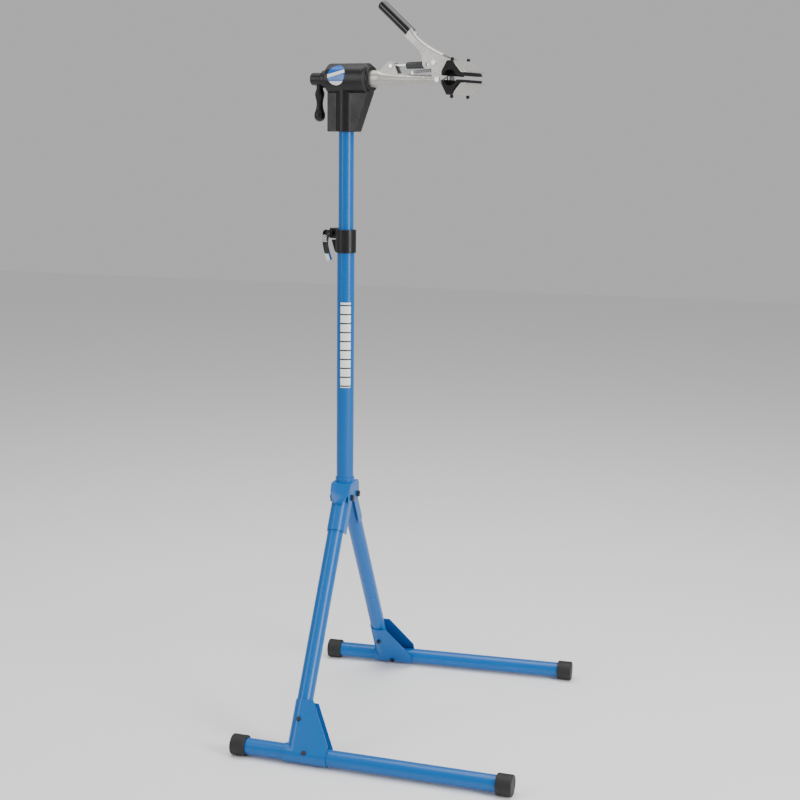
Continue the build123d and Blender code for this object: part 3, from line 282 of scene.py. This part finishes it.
# ---------------------------------------------------------------- end caps
# Moulded rubber cups pushed over the floor tubes: dark grey, matte, faintly mottled.
cap_rubber = make_finish("cap_rubber", (0.010, 0.010, 0.0105), (0.007, 0.007, 0.0075), 60.0, 0.55, 0.7,
                         900.0, 0.00012, coarse=0.3)
for side in ("left", "right"):
    for end in ("rear", "front"):
        dress(f"{side}_{end}_cap", cap_rubber, edge=0.0006)

# ---------------------------------------------------------------- bolts and nuts
# Black oxide button-head bolts through the feet and the yoke, each nut a plain hexagon.
black_oxide = make_finish("black_oxide", (0.07, 0.068, 0.066), (0.04, 0.04, 0.042), 120.0, 0.32, 0.5,
                          1500.0, 0.00003, metal=0.85)
for node in ("left_foot_bolts", "right_foot_bolts", "left_foot_nuts", "right_foot_nuts",
             "leg_pivot_bolts", "leg_pivot_nuts"):
    dress(node, black_oxide, edge=0.0003)

# ---------------------------------------------------------------- height label
# A plain white strip on the front of the lower mast with a scale of short black marks.
label_face = atan2(camera_place.y, camera_place.x)
label_half = radians(36)
label_low, label_high = 0.758, 0.948
label_build = bmesh.new()
label_thick, label_clear = 0.0001, 0.00012
label_radius = mast_radius + label_clear
label_start = label_face - label_half
low = label_build.verts.new((label_radius * cos(label_start), label_radius * sin(label_start),
                             label_low))
high = label_build.verts.new((low.co.x, low.co.y, label_high))
label_edge = label_build.edges.new((low, high))
bmesh.ops.spin(label_build, geom=[low, high, label_edge], cent=(0, 0, 0), axis=(0, 0, 1),
               angle=2 * label_half, steps=24)
bmesh.ops.recalc_face_normals(label_build, faces=label_build.faces)
first_face = next(iter(label_build.faces))
face_middle = first_face.calc_center_median()
if first_face.normal.dot(Vector((face_middle.x, face_middle.y, 0))) < 0:
    bmesh.ops.reverse_faces(label_build, faces=label_build.faces)
bmesh.ops.solidify(label_build, geom=label_build.faces[:], thickness=-label_thick)

label_print = bpy.data.materials.new("label_print")
label_print.use_nodes = True
label_tree = label_print.node_tree
label_shader = label_tree.nodes["Principled BSDF"]
label_shader.inputs["Roughness"].default_value = 0.35
label_where = label_tree.nodes.new("ShaderNodeTexCoord")
label_split = label_tree.nodes.new("ShaderNodeSeparateXYZ")
label_pitch = label_tree.nodes.new("ShaderNodeMath")
label_pitch.operation = "FRACT"
label_scale = label_tree.nodes.new("ShaderNodeMath")
label_scale.operation = "MULTIPLY"
marks_per_metre, mark_share = 50.0, 0.16
label_scale.inputs[1].default_value = marks_per_metre
label_mark = label_tree.nodes.new("ShaderNodeMath")
label_mark.operation = "LESS_THAN"
label_mark.inputs[1].default_value = mark_share
label_mix = label_tree.nodes.new("ShaderNodeMix")
label_mix.data_type = "RGBA"
label_mix.inputs["A"].default_value = (0.86, 0.86, 0.84, 1.0)
label_mix.inputs["B"].default_value = (0.01, 0.01, 0.012, 1.0)
link_group_nodes(label_tree, (label_where.outputs["Object"], label_split.inputs["Vector"]),
                 (label_split.outputs["Z"], label_scale.inputs[0]),
                 (label_scale.outputs["Value"], label_pitch.inputs[0]),
                 (label_pitch.outputs["Value"], label_mark.inputs[0]),
                 (label_mark.outputs["Value"], label_mix.inputs["Factor"]),
                 (label_mix.outputs["Result"], label_shader.inputs["Base Color"]))
place_piece(label_build, "height_label", "stand", label_print)

# ---------------------------------------------------------------- height collar
# Glass-filled nylon, moulded with a fine spark-eroded grain, split at the back and pulled
# shut by the quick release.
black_nylon = make_finish("black_nylon", (0.0065, 0.0065, 0.007), (0.0045, 0.0045, 0.005), 40.0, 0.32, 0.42,
                          1100.0, 0.00008, coarse=0.35, gloss=0.36)
dress("height_collar", black_nylon, edge=0.0008)
dress("cam_washer", black_nylon, edge=0.0004)
acetal = make_finish("natural_acetal", (0.72, 0.71, 0.66), (0.66, 0.65, 0.6), 40.0, 0.35, 0.5,
                     700.0, 0.00003)
for node in ("mast_bush", "mast_guide", "arm_bush_rear"):
    dress(node, acetal, edge=0.0003)

# ---------------------------------------------------------------- quick release
# Polished aluminium lever and nut on a zinc skewer, with black plastic over the hub and the
# middle of the blade.
polished = make_finish("polished_aluminium", (0.83, 0.83, 0.83), (0.74, 0.74, 0.75), 90.0, 0.12, 0.24,
                       1800.0, 0.00001, metal=1.0)
zinc = make_finish("bright_zinc", (0.66, 0.67, 0.69), (0.52, 0.53, 0.56), 160.0, 0.2, 0.36, 1200.0, 0.00002,
                   coarse=0.4, metal=1.0)
lever = dress("release_lever", polished, edge=0.0008)
lever.data.materials.append(black_nylon)
lever_low, lever_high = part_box("release_lever")
hub_from, grip_from, grip_to = 0.84, 0.2, 0.6   # plastic covers, as shares of the lever's height
for face in lever.data.polygons:
    share = (face.center.z - lever_low.z) / (lever_high.z - lever_low.z)
    if share > hub_from or grip_from < share < grip_to:
        face.material_index = 1
dress("release_nut", polished, edge=0.0004)
dress("release_skewer", zinc, edge=0.0)

# ---------------------------------------------------------------- head
# One nylon moulding: a barrel for the arm, a socket for the mast and a web between them.
dress("head_housing", black_nylon, edge=0.0032)
dress("arm_bush_front", black_nylon, edge=0.0006)
dress("thrust_ring", black_nylon, edge=0.0005)
badge_film = make_finish("badge_film", (0.002, 0.10, 0.42), (0.002, 0.09, 0.39), 30.0, 0.2, 0.26,
                         500.0, 0.00001)
badge_print = make_finish("badge_print", (0.80, 0.80, 0.80), (0.76, 0.76, 0.76), 30.0, 0.25, 0.32,
                          500.0, 0.00001)
badge_build = dressed_mesh("head_badge")
badge_low, badge_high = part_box("head_badge")
badge_middle = (Vector(badge_low) + Vector(badge_high)) / 2
band_lean, band_wide, foot_line = 0.26, 0.007, -0.0125
for lean, height in ((band_lean, 0.0), (band_lean, band_wide), (0.0, foot_line)):
    bmesh.ops.bisect_plane(badge_build, plane_co=badge_middle + Vector((0, 0, height)),
                           plane_no=(-lean, 0, 1), dist=0.000001,
                           geom=badge_build.verts[:] + badge_build.edges[:] + badge_build.faces[:])
badge = place_piece(badge_build, "head_badge_shown", "head", badge_film, "head_badge")
badge.data.materials.append(badge_print)
for face in badge.data.polygons:
    along, above = face.center.x - badge_middle.x, face.center.z - badge_middle.z
    if 0.0 < above - band_lean * along < band_wide or above < foot_line:
        face.material_index = 1

# ---------------------------------------------------------------- lock lever
# The bat-shaped nylon lever that draws the arm tight, on its bolt.
dress("lock_lever", black_nylon, edge=0.0008)
dress("draw_bolt", zinc, edge=0.0004)
dress("arm_plug", zinc, edge=0.0003)

# ---------------------------------------------------------------- arm, clevis and jaws
# Drawn steel tube and pressed plates under a satin silver coat with a fine metallic fleck.
silver_coat = make_finish("silver_coat", (0.46, 0.448, 0.42), (0.40, 0.39, 0.362), 22.0, 0.32, 0.44,
                          1400.0, 0.00007, coarse=0.25, metal=0.65)
for node in ("arm_tube", "arm_clevis", "upper_jaw", "lower_jaw", "clamp_handle"):
    dress(node, silver_coat, edge=0.0005)
for node in ("clevis_rivet", "handle_rivet", "jaw_pivot_rivet", "tongue_rivet", "spring_pin",
             "link_pin", "link_rear_eye", "link_front_eye", "spring_anchor"):
    dress(node, zinc, edge=0.0003)

# ---------------------------------------------------------------- jaw covers
# Soft black rubber blocks, pegged through the plates, with a smooth groove for the tube.
jaw_rubber = make_finish("jaw_rubber", (0.006, 0.006, 0.0065), (0.004, 0.004, 0.0045), 70.0, 0.5, 0.66,
                         1000.0, 0.00008, coarse=0.2, gloss=0.28)
for node in ("upper_jaw_cover", "lower_jaw_cover"):
    dress(node, jaw_rubber, edge=0.0009)

# ---------------------------------------------------------------- adjuster and grip
# A fluted dark grey sleeve sets the jaw gap; the grip is thick black vinyl, dipped and glossy.
adjuster_grey = make_finish("adjuster_grey", (0.05, 0.052, 0.056), (0.036, 0.038, 0.042), 80.0, 0.4, 0.55,
                            1300.0, 0.00006)
dress("adjuster_sleeve", adjuster_grey, edge=0.0003)
grip_vinyl = make_finish("grip_vinyl", (0.005, 0.005, 0.0055), (0.004, 0.004, 0.0045), 20.0, 0.14, 0.2,
                         240.0, 0.00002, coarse=0.5)
dress("handle_grip", grip_vinyl, edge=0.0006)

# ---------------------------------------------------------------- return spring
# A close coil of spring wire between the anchor on the arm and the pin in the jaw.
anchor_low, anchor_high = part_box("spring_anchor")
pin_low, pin_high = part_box("spring_pin")
anchor_hook_drop = 0.0025
hook_foot = (Vector(anchor_low) + Vector(anchor_high)) / 2
hook_foot.z = anchor_high[2] - anchor_hook_drop
hook_pin = (Vector(pin_low) + Vector(pin_high)) / 2
spring_length = (hook_pin - hook_foot).length
spring_way = (hook_pin - hook_foot).normalized()
spring_side = Vector((0, 0, 1)).cross(spring_way).normalized()
spring_up = spring_way.cross(spring_side)
wire, coil_radius = 0.00055, 0.0027
foot_hook_radius, pin_hook_radius = 0.0032, 0.0025
coil_start, coil_end = 0.006, spring_length - 0.008
coil_turns, turn_steps = 26, 14
spring_build = bmesh.new()
coil_section = bmesh.ops.create_circle(spring_build, segments=8, radius=wire,
                                       matrix=Matrix.Translation((coil_radius, 0, coil_start))
                                       @ Matrix.Rotation(pi / 2, 4, "X"))
coil_steps = coil_turns * turn_steps
bmesh.ops.spin(spring_build, geom=coil_section["verts"] + spring_build.edges[:], cent=(0, 0, 0),
               axis=(0, 0, 1), dvec=(0, 0, (coil_end - coil_start) / coil_steps),
               angle=2 * pi * coil_turns, steps=coil_steps)
bmesh.ops.holes_fill(spring_build, edges=[e for e in spring_build.edges if e.is_boundary], sides=8)
# hooks: one loop round the anchor, lying flat, and one round the pin, standing up
for centre, radius, reach, tilt in ((0.0, foot_hook_radius, coil_start, 0.0),
                                    (spring_length, pin_hook_radius, coil_end, pi / 2)):
    before = set(spring_build.verts)
    hook_section = bmesh.ops.create_circle(spring_build, segments=8, radius=wire,
                                           matrix=Matrix.Translation((0, 0, radius)))
    hook_edges = [e for e in spring_build.edges if all(v in hook_section["verts"] for v in e.verts)]
    bmesh.ops.spin(spring_build, geom=hook_section["verts"] + hook_edges, cent=(0, 0, 0),
                   axis=(0, 1, 0), angle=2 * pi, steps=24, use_merge=True)
    hook_verts = [v for v in spring_build.verts if v not in before]
    bmesh.ops.rotate(spring_build, verts=hook_verts, cent=(0, 0, 0),
                     matrix=Matrix.Rotation(tilt, 3, "Z"))
    toward = 1 if reach > centre else -1
    for vertex in hook_verts:
        if vertex.co.z * toward > 0:
            vertex.co.z += toward * (abs(reach - centre) - radius)
        vertex.co.z += centre
bmesh.ops.remove_doubles(spring_build, verts=spring_build.verts, dist=0.000002)
bmesh.ops.recalc_face_normals(spring_build, faces=spring_build.faces)
spring_frame = Matrix((spring_side, spring_up, spring_way)).transposed().to_4x4()
spring_build.transform(Matrix.Translation(hook_foot) @ spring_frame)
spring_mesh = bpy.data.meshes.new("return_spring_shown")
spring_build.to_mesh(spring_mesh)
spring_build.free()
spring_mesh.materials.append(zinc)
for face in spring_mesh.polygons:
    face.use_smooth = True
spring = bpy.data.objects.new("return_spring_shown", spring_mesh)
bpy.context.scene.collection.objects.link(spring)
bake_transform(spring)
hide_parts("return_spring")
